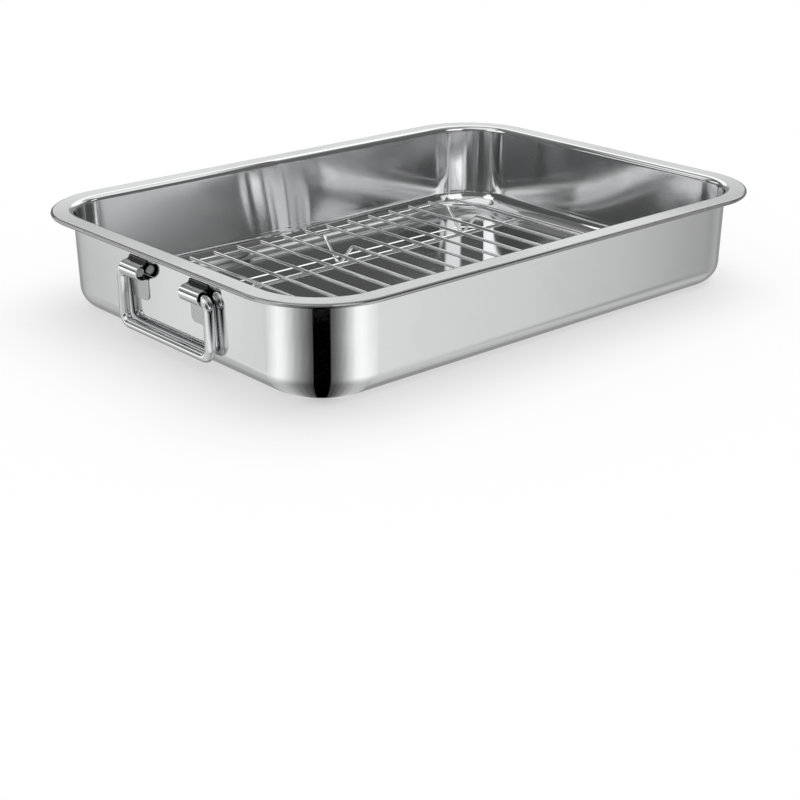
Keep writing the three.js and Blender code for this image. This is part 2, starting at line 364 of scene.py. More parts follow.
class NodeTree:
    """A node tree that is drawn up from nothing."""

    def __init__(self, tree: bpy.types.NodeTree) -> None:
        """Empties the tree."""
        self.tree = tree
        tree.nodes.clear()

    def node(self, kind: str, settings: dict, inputs: dict, out: int | str = 0) -> Value:
        """Adds a node, sets it up and feeds it.

        Args:
            kind: Type of the node.
            settings: Its settings, made before its inputs; a ramp's stops are pairs of place and grey level.
            inputs: Values or outputs for its sockets, by name or place.
            out: Name or place of the output that is wanted.

        Returns:
            That output.
        """
        made = self.tree.nodes.new(kind)
        for setting, value in settings.items():
            if setting == "stops":
                self.grade(made.color_ramp, value)
            else:
                setattr(made, setting, value)
        for socket, value in inputs.items():
            if isinstance(value, Value):
                self.tree.links.new(value.socket, made.inputs[socket])
            else:
                made.inputs[socket].default_value = value
        return Value(self, made.outputs[out] if made.outputs else None)

    def grade(self, ramp: bpy.types.ColorRamp, stops: Stops) -> None:
        """Puts grey stops on a ramp, with straight runs between them.

        Args:
            ramp: The ramp.
            stops: Pairs of place and grey level.
        """
        ramp.interpolation = "LINEAR"
        while len(ramp.elements) < len(stops):
            ramp.elements.new(0.5)
        for element, (place, level) in zip(ramp.elements, stops):
            element.position = place
            element.color = (level, level, level, 1)

    def ramp(self, share: Value, span: float, stops: Stops) -> Value:
        """Adds a grey ramp over an angle.

        Args:
            share: The angle as a share of its span, 0.5 at 0 degrees.
            span: Degrees from one end of the ramp to the other.
            stops: Pairs of degrees and grey level.

        Returns:
            The grey level at the angle.
        """
        places = [(degrees / span + 0.5, level) for degrees, level in stops]
        graded = self.node("ShaderNodeValToRGB", {"stops": places}, {0: share})
        return self.node("ShaderNodeSeparateColor", {}, {0: graded})

    def axes(self, vector: Value) -> list[Value]:
        """The X, Y and Z of a vector."""
        return [self.node("ShaderNodeSeparateXYZ", {}, {0: vector}, axis) for axis in "XYZ"]


def paint(name: str) -> tuple[bpy.types.Material, NodeTree]:
    """Makes a material with an empty node tree.

    Args:
        name: Name of the material.

    Returns:
        The material and its tree.
    """
    made = bpy.data.materials.new(name)
    made.use_nodes = True
    return made, NodeTree(made.node_tree)


# Noise for the polishing lines, smears, forming waves and hairline scratches, and where smears and scratches start
LINES = {"Scale": 1.0, "Detail": 3.0, "Roughness": 0.6}
SMEARS = {"Scale": 26.0, "Detail": 4.0, "Distortion": 0.6}
WAVES = {"Scale": 13.0, "Detail": 1.0}
HAIRS = {"Scale": 1.0, "Detail": 1.0}
HAIR_STRETCH = {"Rotation": (0.4, 0.7, 0.9), "Scale": (40.0, 900.0, 900.0)}
SMEAR_RANGE = {1: 0.48, 2: 0.72}
HAIR_RANGE = {1: 0.735, 2: 0.77}
SMOOTH = {"interpolation_type": "SMOOTHSTEP"}
# What the polishing lines, smears, scratches and marked zones add to roughness and take from the colour
LINE_ROUGH, LINE_TONE, SMEAR_DARK = 0.35, 0.05, 0.02
SCRATCH_ROUGH, SCRATCH_DARK = 0.05, 0.04
# The darkened zones add roughness and paint shade into the colour: painted shade on the rolled bead and the straps'
# flared edges, a painted darker tone on the straps' tails
PAINTED_DARK_ROUGH, PAINTED_DARK_SHARE = 0.15, 0.92
SAWN_ROUGH, SAWN_DARK = 0.35, 0.2
# How much of the satin zone's colour is lost, how much of it is matt and how much deeper its lines are
SATIN_DARK, SATIN_MATT, SATIN_LINES = 0.03, 0.5, 3.0
# Reach of the walls' swelling along X and Y, and the heights of its foot, crest and top
SWELL_REACH = (0.08, 0.06)
SWELL_FOOT, SWELL_CREST, SWELL_TOP = 0.0015, 0.014, 0.058


@dataclass(frozen=True)
class SteelFinish:
    """Polished stainless steel with fine polishing lines, faint smears and a few hairline scratches."""

    name: str
    tone: tuple[float, float, float]
    roughness: float
    grain: Grain  # Which way the polishing lines run
    grain_depth: float  # Height of the polishing lines
    smear: float  # How much roughness the smears add
    wave: float = 0.0  # Height of the slow waves left by forming
    inside: float = 0.045  # Roughness where the piece is marked inside
    satin: float = 0.34  # Roughness where the piece is marked satin
    brushed: float = 0.0  # How much more the finish blurs across its polishing lines than along them
    belly: float = 0.0  # How far the walls' inner faces swell near the base, most at the middle of each side

    def material(self) -> bpy.types.Material:
        """Draws up the material.

        Returns:
            The material.
        """
        made, tree = paint(self.name)
        place = tree.node("ShaderNodeTexCoord", {}, {}, "Object")
        sheet = tree.node("ShaderNodeUVMap", {"uv_map": "UVMap"}, {})
        along = tree.node("ShaderNodeVectorMath", {"operation": "MULTIPLY"}, {0: sheet, 1: (*self.grain.value, 1.0)})
        crossed = tree.node("ShaderNodeMapping", {}, {"Vector": place, **HAIR_STRETCH})
        lines, smears, slow, hairs = (
            tree.node("ShaderNodeTexNoise", {}, {"Vector": vector, **noise})
            for vector, noise in ((along, LINES), (place, SMEARS), (place, WAVES), (crossed, HAIRS))
        )
        haze = tree.node("ShaderNodeMapRange", SMOOTH, {0: smears, **SMEAR_RANGE})
        scratch = tree.node("ShaderNodeMapRange", {}, {0: hairs, **HAIR_RANGE})
        satin, inside, dull, sawn = (
            tree.node("ShaderNodeAttribute", {"attribute_name": mark}, {}, "Fac")
            for mark in ("satin", "inside", "dull", "sawn")
        )
        base = self.roughness
        polished = base + lines * (LINE_ROUGH * base) + haze * self.smear + scratch * SCRATCH_ROUGH
        zoned = satin * (self.satin - base) + inside * (self.inside - base)
        roughness = polished + zoned + dull * PAINTED_DARK_ROUGH + sawn * SAWN_ROUGH
        worn = 1 - LINE_TONE / 2 + lines * LINE_TONE - haze * SMEAR_DARK - scratch * SCRATCH_DARK
        # Painted shade and a painted darker tone: the darkened zones take most of the colour away
        shade = worn * (1 - dull * PAINTED_DARK_SHARE - satin * SATIN_DARK - sawn * SAWN_DARK)
        metal = 1.0 - satin * SATIN_MATT
        colour = tree.node("ShaderNodeVectorMath", {"operation": "SCALE"}, {0: self.tone, "Scale": shade})
        deep = self.grain_depth
        height = lines * deep + satin * lines * (SATIN_LINES * deep) + slow * self.wave
        if self.belly:
            height = height + inside * self.swelling(tree, place) * self.belly
        normal = tree.node("ShaderNodeBump", {}, {"Strength": 1.0, "Distance": 1.0, "Height": height})
        lit = {"Base Color": colour, "Metallic": metal, "Roughness": roughness, "Normal": normal}
        brushing = {"Anisotropic": self.brushed, "Anisotropic Rotation": 0.25}
        shader = tree.node("ShaderNodeBsdfPrincipled", {}, lit | brushing)
        tree.node("ShaderNodeOutputMaterial", {}, {"Surface": shader})
        return made

    def swelling(self, tree: NodeTree, place: Value) -> Value:
        """Slow swelling of a drawn pan's walls: a bump over the height, divided by one plus a distance squared.

        The bump rises through the base bend and falls as the square of the rest of the way to the rim. The
        distance is that from the middle of the side, in shares of its own reach.

        Args:
            tree: Tree that the nodes are added to.
            place: Place on the piece.

        Returns:
            The swelling, from 0 to 1.
        """
        x, y, z = tree.axes(place)
        aside = (x / SWELL_REACH[0]).math("ABSOLUTE").math("MINIMUM", (y / SWELL_REACH[1]).math("ABSOLUTE"))
        rise = tree.node("ShaderNodeMapRange", SMOOTH, {0: z, 1: SWELL_FOOT, 2: SWELL_CREST})
        rest = tree.node("ShaderNodeMapRange", {}, {0: z, 1: SWELL_CREST, 2: SWELL_TOP, 3: 1.0, 4: 0.0})
        return rise * rest * rest / (aside * aside + 1.0)


PAN_STEEL = SteelFinish(
    "pan_steel", (0.68, 0.683, 0.686), 0.05, Grain.ALONG_U, 0.00000035, 0.02, 0.00002, brushed=1.0, belly=0.0013
)
HANDLE_STEEL = SteelFinish("handle_steel", (0.58, 0.584, 0.588), 0.055, Grain.ALONG_V, 0.0000004, 0.03)
STRAP_STEEL = SteelFinish("strap_steel", (0.68, 0.684, 0.688), 0.07, Grain.ALONG_V, 0.0000004, 0.03)
RACK_WIRE = SteelFinish("rack_wire", (0.78, 0.784, 0.788), 0.04, Grain.ALONG_V, 0.0000005, 0.05)
WELD_STEEL = SteelFinish("weld_steel", (0.52, 0.50, 0.47), 0.30, Grain.ALONG_U, 0.000001, 0.08)


@dataclass
class PanShell:
    """The deep-drawn pan: base panel, drafted walls, flat rim and rolled bead, as one sheet."""

    sheet: float = 0.8 * MM
    rim_width: float = 14 * MM  # Width of the flat rim, from the pan's outside to the wall's outer face
    corner: float = 54 * MM  # Radius of the rim's outline at the corners
    rim_bend: float = 3.5 * MM  # Radius of the bend from the wall into the rim, on its upper side
    bead_width: float = 4.2 * MM
    bead_height: float = 3 * MM
    draft: float = math.radians(1.2)  # Lean of the walls
    base_bend: float = 14 * MM  # Outer radius of the bend from the base into the walls
    panel_inset: float = 64 * MM  # Distance of the base panel's edge from the pan's outside
    panel_corner: float = 18 * MM
    panel_step: float = 0.6 * MM  # Depth of the base panel below the ring around it
    panel_ramp: float = 2.4 * MM  # Width of the slope round the base panel
    corner_steps: int = 32  # Steps in each corner of the outline
    bead_shade: float = 0.5  # How much painted shade darkens the outer face of the rolled bead

    def __post_init__(self) -> None:
        """Reads the pan's overall size from the frame and works out the bend centres."""
        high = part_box("pan_body")[1]
        self.half_length, self.half_width, self.height = high.x, high.y, high.z
        self.rim_centre = (self.rim_width - (self.rim_bend - self.sheet), self.height - self.rim_bend)
        rise = self.base_bend + self.panel_step
        fall = self.rim_centre[1] - rise
        lean = (self.rim_bend - self.sheet + self.base_bend) / math.cos(self.draft)
        self.base_centre = (self.rim_centre[0] + lean + fall * math.tan(self.draft), rise)

    def wall_inset(self, height: float) -> float:
        """Distance of the wall's outer face from the pan's outside, at a height."""
        bend = (self.rim_bend - self.sheet) / math.cos(self.draft)
        return self.rim_centre[0] + bend + (self.rim_centre[1] - height) * math.tan(self.draft)

    def section(self) -> tuple[np.ndarray, dict[str, np.ndarray]]:
        """Closed section of the sheet, from the underside of the base round the rim to the floor inside.

        Each point is a distance in from the pan's outside and a height. Bends are arcs, the slope round the
        base panel follows 3 t^2 - 2 t^3, and the bead is a half round outside and a part round inside.

        Returns:
            The points, and the marks that say where the sheet is satin, where it is inside the pan and where painted
            shade darkens it.
        """
        rim, base, lean, thick = self.rim_centre, self.base_centre, self.draft, self.sheet
        inner, outer = self.rim_bend, self.rim_bend - thick
        round_edge = self.bead_height / 2
        mid = self.height - round_edge
        crease = math.asin((round_edge - thick) / round_edge)
        ease = np.linspace(0, 1, num=11)
        ramp_in = self.panel_inset - ease * self.panel_ramp
        ramp_up = self.panel_step * ease**2 * (3 - 2 * ease)
        under_ramp = np.stack([ramp_in, ramp_up], 1)
        over_ramp = np.stack([ramp_in, ramp_up + thick], 1)[::-1]
        base_outer = arc(base, self.base_bend, -QUARTER, lean - math.pi, steps=22)
        base_inner = arc(base, self.base_bend - thick, lean - math.pi, -QUARTER, steps=22)
        bend_outer = arc(rim, outer, lean, QUARTER, steps=12)
        bend_inner = arc(rim, inner, QUARTER, lean, steps=16)
        bead_inner = arc((self.bead_width - round_edge, mid), round_edge, crease, -QUARTER, steps=12)
        bead_outer = arc((round_edge, mid), round_edge, -QUARTER, -3 * QUARTER, steps=24)
        arcs = [under_ramp, base_outer, bend_outer, bead_inner, bead_outer, bend_inner, base_inner, over_ramp]
        pieces = strung(arcs, [SUPPORTED] * 3 + [SUPPORTED[[0, 1, 8, 9]]] + [SUPPORTED] * 3)
        points = chain(*pieces)
        rows = np.arange(len(points))
        bead, flat, bend, wall = (len(chain(*pieces[:count])) for count in (8, 9, 10, 11))
        satin = ((rows >= flat) & (rows < bend)).astype(float)
        # Painted shade on the rolled bead's outer face
        dull = self.bead_shade * ((rows >= bead) & (rows < flat))
        return points, {"satin": satin, "inside": (rows >= wall).astype(float), "dull": dull}

    def outline(self, inset: np.ndarray, height: np.ndarray) -> np.ndarray:
        """Rounded rectangles, one for each distance in from the pan's outside.

        A corner's points are its centre plus its radius times cosine and sine of the angle, and the points
        of a straight side are shares of the way between the two corners it joins.

        Args:
            inset: Distance in, for each outline.
            height: Height of each outline.

        Returns:
            Grid of points, outlines by stations by 3.
        """
        bends = [0.0, self.base_centre[0], self.panel_inset - self.panel_ramp, self.panel_inset]
        kept = self.panel_corner + self.panel_ramp
        radius = np.interp(inset, bends, [self.corner, self.corner - bends[1], kept, self.panel_corner])[:, None]
        angle = np.linspace(0, QUARTER, self.corner_steps + 1)
        corners = []
        for turn, (sx, sy) in enumerate(CORNERS):
            x = sx * (self.half_length - inset[:, None] - radius) + radius * np.cos(angle + turn * QUARTER)
            y = sy * (self.half_width - inset[:, None] - radius) + radius * np.sin(angle + turn * QUARTER)
            corners.append(np.stack([x, y], -1))
        shares = SUPPORTED[1:-1, None]
        ring = []
        for here, following in zip(corners, corners[1:] + corners[:1]):
            ring.append(here)
            ring.append(here[:, None, -1] + shares * (following[:, None, 0] - here[:, None, -1]))
        flat = np.concatenate(ring, axis=1)
        return np.concatenate([flat, np.broadcast_to(height[:, None, None], (*flat.shape[:2], 1))], -1)

    def build(self) -> bpy.types.Object:
        """Carries the section round the outline and closes the base panel by outlines shrunk to its centre.

        Returns:
            The pan.
        """
        section, zones = self.section()
        loops = self.outline(section[:, 0], section[:, 1])
        shares = np.array([0.05, 0.2, 0.4, 0.6, 0.8, 0.95, 0.99])
        shrink = shares[:, None, None] * np.array([1, 1, 0]) + np.array([0, 0, 1])
        under, floor = loops[:1] * shrink, loops[-1:] * shrink[::-1]
        points = np.concatenate([under, loops, floor])
        marks = {
            name: np.concatenate([np.full(len(under), zone[0]), zone, np.full(len(floor), zone[-1])])
            for name, zone in zones.items()
        }
        reference = np.concatenate([loops[0], loops[0, :1]])
        return Skin(points, travelled(reference), travelled(points[:, 0]), marks=marks).build("pan_shell")

    def dress(self, pan: bpy.types.Object) -> None:
        """Gives the pan its finish and its place on the frame."""
        settle(pan, PAN_STEEL, "pan", "pan_steel", "pan_body")


FINISHES: dict[str, bpy.types.Material] = {}


def settle(piece: bpy.types.Object, finish: SteelFinish, body: str, slot: str, *nodes: str) -> None:
    """Gives a piece its finish and the body it moves with, and hides the nodes it stands for.

    Args:
        piece: The piece.
        finish: Its finish.
        body: The body it rides on.
        slot: Not used.
        nodes: The nodes it stands for.
    """
    if finish.name not in FINISHES:
        FINISHES[finish.name] = finish.material()
    piece.data.materials.append(FINISHES[finish.name])
    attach(piece, body)
    if nodes:
        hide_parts(*nodes)
    log.info("%s: %d faces, moves with %s", piece.name, len(piece.data.polygons), body)


@dataclass
class HandleEnd:
    """One swinging handle and the two straps that hold it to the pan's end wall."""

    side: Side
    pan: PanShell
    wire: float = 6.5 * MM
    low_bend: float = 6.5 * MM  # Bend radius of the two lower corners
    high_bend: float = 6.2 * MM  # Bend radius of the two upper corners
    tip: float = 24.85 * MM  # Half the clear distance between the wire's two ends
    strap: float = 0.7 * MM
    loop: float = 5 * MM  # Outer radius of the strap's loop
    flare: float = 2.2 * MM  # Radius of the bend by which the strap's upper edge turns up against the wall
    strap_bend: float = 1 * MM  # Inner radius of the bend from the loop into the tail
    loop_depth: float = 18.6 * MM  # Depth of the loop's centre below the rim
    loop_reach: float = 8.7 * MM  # How far the loop stands out from the wall
    tail: float = 18.6 * MM  # Length of the tail below the loop's centre
    tail_corner: float = 4 * MM
    seat: float = 0.03 * MM  # Clearance between the tail and the wall
    edge: float = 0.25 * MM  # Radius by which the strap's edges are rounded
    tail_darkening: float = 0.36  # How much darker the welded tail is painted

    @property
    def label(self) -> str:
        """The end's name in the frame."""
        return self.side.name.lower()

    def handle(self) -> bpy.types.Object:
        """Bends the handle from one wire, hanging straight down from its pivot.

        Returns:
            The handle.
        """
        low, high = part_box(f"handle_{self.label}")
        radius = self.wire / 2
        x, leg = (low.x + high.x) / 2, high.y - radius
        bar, top = low.z + radius, high.z - radius
        across = [(-self.tip, top), (-leg, top), (-leg, bar), (leg, bar), (leg, top), (self.tip, top)]
        corners = np.array([(x, y, z) for y, z in across])
        bends = [self.high_bend, self.low_bend, self.low_bend, self.high_bend]
        wire = Wire(bent(corners, bends, steps=20), (1, 0, 0), self.wire, sides=48, edge=1 * MM)
        return wire.skin().build(f"handle_wire_{self.label}")

    def strap_piece(self, letter: str) -> bpy.types.Object:
        """Folds one strap: flared upper edge, half-round loop, a bend and a flat tail with rounded corners.

        The sheet's middle line is three arcs joined by runs in the plane across the wall, and a last run down
        the wall. At each of its points stands a thin rounded rectangle as wide as the strap, and over the
        tail's last part the half width falls as a quarter circle does.

        Args:
            letter: Which of the end's two straps.

        Returns:
            The strap.
        """
        name = f"handle_strap_{self.label}_{letter}"
        low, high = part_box(name)
        middle, half_width, thick = (low.y + high.y) / 2, (high.y - low.y) / 2, self.strap
        reach = self.loop - thick / 2
        wall_gap = self.loop_reach - self.loop
        flat = thick / 2 - wall_gap + self.seat
        turn_radius, flare_radius = self.strap_bend + thick / 2, self.flare + thick / 2
        flare = arc((flat + flare_radius, reach + flare_radius), flare_radius, math.pi, 3 * QUARTER, steps=18)
        loop = arc((0, 0), reach, QUARTER, -QUARTER, steps=40)
        fold = arc((flat + turn_radius, -reach - turn_radius), turn_radius, QUARTER, math.pi, steps=14)
        corner = self.tail_corner * (1 - np.sin(np.linspace(0, QUARTER, num=13)))
        tail_run = np.stack([np.full_like(corner, flat), -self.tail + corner], 1)
        short = SUPPORTED[[0, 9]]
        line = chain(*strung([flare, loop, fold, tail_run], [short, short, SUPPORTED]))
        left = np.clip(self.tail_corner - np.abs(line[:, 1] + self.tail), 0, None) * (line[:, 1] < -self.loop)
        width = half_width - self.tail_corner + np.sqrt(self.tail_corner**2 - left**2)
        tangent = unit(np.gradient(line, axis=0))
        facing = np.stack([-tangent[:, 1], tangent[:, 0]], 1)
        ring = rounded((half_width, thick / 2), self.edge, steps=5, shares=SUPPORTED[[1, 3, 5, 8]])
        wide = ring[None, :, 0] + np.sign(ring[:, 0])[None] * (width - half_width)[:, None]
        flat_points = line[:, None] + ring[None, :, 1:] * facing[:, None]
        lean = self.pan.draft
        across = flat_points[..., 0] * math.cos(lean) + flat_points[..., 1] * math.sin(lean)
        up = flat_points[..., 1] * math.cos(lean) - flat_points[..., 0] * math.sin(lean)
        height = self.pan.height - self.loop_depth
        centre = self.pan.half_length - self.pan.wall_inset(height) + wall_gap
        x = self.side.value * (centre + across)
        points = np.stack([x, middle + wide, height + up], -1)
        around = travelled(np.concatenate([ring, ring[:1]]))
        rows = np.arange(len(line))
        # Painted shade blackens the flared upper edge, and the tail is painted darker
        dull = (rows < len(flare)) + self.tail_darkening * (line[:, 1] < -self.loop - self.strap_bend)
        return Skin(points, around, travelled(line), marks={"dull": dull}).build(f"strap_{self.label}_{letter}")

    def build(self) -> list[bpy.types.Object]:
        """Makes the handle and its two straps, handle first."""
        return [self.handle(), self.strap_piece("a"), self.strap_piece("b")]

    def dress(self, pieces: list[bpy.types.Object]) -> None:
        """Gives the handle and straps their finishes and places on the frame."""
        handle, *straps = pieces
        settle(handle, HANDLE_STEEL, f"{self.label}_handle", "handle_steel", f"handle_{self.label}")
        for letter, strap in zip("ab", straps):
            settle(strap, STRAP_STEEL, "pan", "strap_steel", f"handle_strap_{self.label}_{letter}")


# Half sizes of the weld beads on the ring, on a long wire and at a long wire's end
WELD_SIZES = np.array([(1.75, 1.5, 1.0), (1.55, 1.35, 0.9), (0.9, 1.75, 1.75)]) * MM


@dataclass
class WireRack:
    """The lift-out rack: a ring of thick wire, two long wires and fifteen cross wires with V feet."""

    corner: float = 32 * MM  # Corner radius of the ring's middle line
    frame_wire: float = 4 * MM
    long_wire: float = 3 * MM
    cross_wire: float = 2.2 * MM
    foot_depth: float = 17 * MM  # Depth of a foot's corner below the cross wires
    foot_spread: float = 30 * MM  # Width of a foot at its top
    foot_bend: float = 4 * MM
    foot_place: float = 71 * MM  # Distance of the feet from the rack's middle line
    weld_sink: float = 0.15 * MM  # Depth of the beads' middles below the cross wires

    def __post_init__(self) -> None:
        """Reads the ring's size and the cross wires' heights from the frame."""
        low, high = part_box("rack_frame")
        self.half_length = high.x - self.frame_wire / 2
        self.half_width = high.y - self.frame_wire / 2
        self.ring_height = (low.z + high.z) / 2
        self.cross_names = sorted(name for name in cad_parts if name.startswith("rack_cross_wire_"))
        self.cross_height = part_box(self.cross_names[0])[1].z - self.cross_wire / 2

    def ring(self) -> bpy.types.Object:
        """Bends the outer ring: four straight sides joined by quarter circles.

        Returns:
            The ring.
        """
        half = self.half_length, self.half_width
        flat = rounded(half, self.corner, steps=24, shares=SUPPORTED[[1, 3, 5, 6, 8]])
        path = np.concatenate([flat, np.full((len(flat), 1), self.ring_height)], 1)
        return Wire(path, (0, 0, 1), self.frame_wire, sides=28, joined=True).skin().build("rack_ring")

    def long(self, name: str) -> bpy.types.Object:
        """Cuts one long wire, which lies under the cross wires and butts the ring at both ends.

        Args:
            name: Node of the wire.

        Returns:
            The long wire.
        """
        low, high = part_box(name)
        y, z = (low.y + high.y) / 2, (low.z + high.z) / 2
        path = np.array([(low.x, y, z), (0.0, y, z), (high.x, y, z)])
        return Wire(path, (0, 0, 1), self.long_wire).skin().build(name.replace("rack_", ""))

    def cross(self, name: str) -> bpy.types.Object:
        """Makes one cross wire, straight or with two V feet, as deep as its node in the frame.

        Args:
            name: Node of the wire.

        Returns:
            The cross wire.
        """
        low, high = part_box(name)
        x, end, z = (low.x + high.x) / 2, high.y, self.cross_height
        if high.z - low.z < 2 * self.cross_wire:
            path = np.array([(x, -end, z), (x, 0.0, z), (x, end, z)])
        else:
            half, place, deep = self.foot_spread / 2, self.foot_place, z - self.foot_depth
            foot = [(place + half, z), (place, deep), (place - half, z)]
            line = [(-end, z)] + [(-y, h) for y, h in foot] + foot[::-1] + [(end, z)]
            path = bent(np.array([(x, y, h) for y, h in line]), np.full(6, self.foot_bend), steps=12)
        return Wire(path, (1, 0, 0), self.cross_wire, sides=20).skin().build(name.replace("rack_", ""))

    def weld_beads(self) -> bpy.types.Object:
        """Small flattened beads of weld where the cross wires lie on the ring and on the long wires.

        Each bead is a sphere's grid of angles, stretched along X, Y and Z.

        Returns:
            All the beads as one piece.
        """
        places = np.array([(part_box(n)[0].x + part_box(n)[1].x) / 2 for n in self.cross_names])
        into = np.clip(np.abs(places) - (self.half_length - self.corner), 0, None)
        ring_y = self.half_width - self.corner + np.sqrt(self.corner**2 - into**2)
        low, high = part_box("rack_long_wire_front")
        long_y = abs(low.y + high.y) / 2
        seam = np.full_like(places, self.cross_height - self.cross_wire / 2 - self.weld_sink)
        rows_y = (ring_y, -ring_y, np.full_like(places, long_y), np.full_like(places, -long_y))
        spots = [np.stack([places, y, seam], 1) for y in rows_y]
        butts = np.array([(sx * high.x, sy * long_y, (low.z + high.z) / 2) for sx in (-1, 1) for sy in (-1, 1)])
        centres = np.concatenate([*spots, butts])
        counts = [2 * len(places), 2 * len(places), len(butts)]
        sizes = np.repeat(WELD_SIZES, counts, axis=0)
        rows, around = 9, 14
        turn = np.linspace(0, 2 * math.pi, around, endpoint=False)
        tilt = np.linspace(0, math.pi, rows + 1)[1:-1]
        wide, deep = np.sin(tilt)[:, None], np.cos(tilt)[:, None]
        ball = np.stack(np.broadcast_arrays(wide * np.cos(turn), wide * np.sin(turn), deep), -1)
        ball = np.concatenate([ball.reshape(-1, 3), [(0, 0, 1), (0, 0, -1)]])
        points = (centres[:, None] + sizes[:, None] * ball).reshape(-1, 3)
        i, j = np.arange(len(tilt) - 1)[:, None] * around, np.arange(around)[None]
        beside = (j + 1) % around
        quads = np.stack([i + j, i + around + j, i + around + beside, i + beside], -1).reshape(-1, 4)
        top, last = len(ball) - 2, (len(tilt) - 1) * around
        j, beside = j[0], beside[0]
        fans = np.concatenate([
            np.stack([np.full(around, top), j, beside], 1),
            np.stack([last + beside, last + j, np.full(around, top + 1)], 1)])
        shift = (np.arange(len(centres)) * len(ball))[:, None, None]
        faces = (quads + shift).reshape(-1, 4).tolist() + (fans + shift).reshape(-1, 3).tolist()
        made = linked("rack_welds", points, faces, smooth=True)
        made.data.uv_layers.new(name="UVMap")
        return made

    def build(self) -> dict[str, bpy.types.Object]:
        """Makes every wire of the rack and the welds.

        Returns:
            The pieces by the node they stand for; the welds stand for none.
        """
        made = {"rack_frame": self.ring()}
        for name in ("rack_long_wire_front", "rack_long_wire_back"):
            made[name] = self.long(name)
        for name in self.cross_names:
            made[name] = self.cross(name)
        made[""] = self.weld_beads()
        return made

    def dress(self, pieces: dict[str, bpy.types.Object]) -> None:
        """Gives the wires and welds their finishes and places on the frame."""
        for node, piece in pieces.items():
            piece.visible_glossy = False
            if node:
                settle(piece, RACK_WIRE, "rack", "rack_wire", node)
            else:
                settle(piece, WELD_STEEL, "rack", "rack_wire")


@dataclass(frozen=True)
class Panel:
    """A part of the studio that the steel mirrors, lit or shaded, with soft edges."""

    light: float  # Its full light, below 0 for a shade
    turns: Stops  # Pairs of degrees from the camera, to the right, and share of the full light
    lifts: Stops  # Pairs of degrees above the horizon and share of the full light

    def shine(self, tree: NodeTree, turn: Value, lift: Value) -> Value:
        """The panel's light in a direction: its full light times its shares at the turn and at the lift."""
        return tree.ramp(turn, 360, self.turns) * tree.ramp(lift, 180, self.lifts) * self.light


ALL_ROUND = ((-180, 1.0), (180, 1.0))
LEFT_SIDE = ((-150, 0.0), (-136, 1.0), (-96, 1.0), (-88, 0.0))
# Panels above the horizon
ABOVE = {
    "back screen": Panel(
        1.05,
        ((-180, 1.0), (-168, 1.0), (-150, 0.0), (115, 0.0), (145, 1.0), (180, 1.0)),
        ((0, 0.1), (10, 0.12), (15, 0.17), (17.5, 0.5), (20.5, 1.0), (50, 1.0), (60, 0.5), (90, 0.0)),
    ),
    "strip boxes": Panel(
        0.95,
        ((-84, 0.0), (-78, 1.0), (-47, 1.0), (-42, 0.0), (13, 0.0), (18, 1.0), (48, 1.0), (55, 0.0)),
        ((3, 0.0), (8, 1.0), (36, 1.0), (42, 0.0)),
    ),
    "ceiling": Panel(0.85, ALL_ROUND, ((36, 0.0), (46, 0.12), (58, 0.2), (66, 0.3))),
    "front lamp": Panel(
        0.8,
        ((-66, 0.0), (-58, 1.0), (-22, 1.0), (-5, 0.55), (38, 0.55), (48, 0.0)),
        ((26, 0.0), (34, 1.0), (56, 1.0), (64, 0.0)),
    ),
    "wing lamps": Panel(
        2.4,
        ((-139, 0.0), (-133, 1.0), (-114, 1.0), (-106, 0.2), (-100, 0.0), (88, 0.0), (91, 1.0), (101, 1.0), (104, 0.0)),
        ((13.5, 0.0), (15.5, 1.0), (18, 1.0), (20, 0.0)),
    ),
    "left wall": Panel(0.02, LEFT_SIDE, ((2, 0.0), (5, 1.0), (48, 1.0), (52, 0.0))),
}
# Panels below the horizon
BELOW = {
    "floor": Panel(
        1.0,
        (
            (-180, 0.3), (-142, 0.3), (-122, 0.5), (-109.5, 0.55), (-108.5, 0.6), (-107.9, 0.7), (-105.8, 0.8),
            (-104, 0.76), (-102.7, 0.68), (-97, 0.8), (-91, 0.82), (-82, 0.78), (-60, 0.7), (-30, 0.65), (8, 0.6),
            (18, 0.35), (42, 0.35), (58, 0.6), (70, 0.72), (82, 0.8), (85.5, 0.72), (89, 0.68), (92.2, 0.64),
            (100, 0.62), (122, 0.5), (142, 0.3), (180, 0.3),
        ),
        ((-90, 0.8), (-60, 0.95), (-20, 1.0)),
    ),
    "right shade": Panel(
        -1.0,
        ((88, 0.0), (92.2, 0.1), (94.5, 0.26), (100, 0.26), (125, 0.05), (150, 0.0)),
        ((-38, 0.0), (-28, 1.0)),
    ),
    "left sheen": Panel(0.6, LEFT_SIDE, ((-17, 0.0), (-11, 1.0))),
}
# Lifts, as shares of a half turn, between which the floor gives way to the studio above it
HORIZON = {1: 0.485, 2: 0.515}
# Columns of the card before the near corner: degrees from the way to the camera, to the right, and light
CORNER_COLUMNS = np.array([
    (-92, 0.8), (-83, 0.95), (-75, 1.08), (-66, 1.03), (-54, 0.75), (-42, 0.44), (-30, 0.25), (-17, 0.1),
    (-13.5, 0.08), (-12.5, 0.0), (15, 0.0), (16.5, 0.1), (26, 0.2), (33, 0.32), (45, 0.67), (57, 1.03), (66, 1.1),
    (76, 1.05), (82, 0.86),
])
# Rows of that card: distance from its focus and share of the light
CORNER_ROWS = np.array([(0.0, 0.5), (0.034, 0.5), (0.058, 1.0), (0.12, 1.0), (0.27, 1.0)])


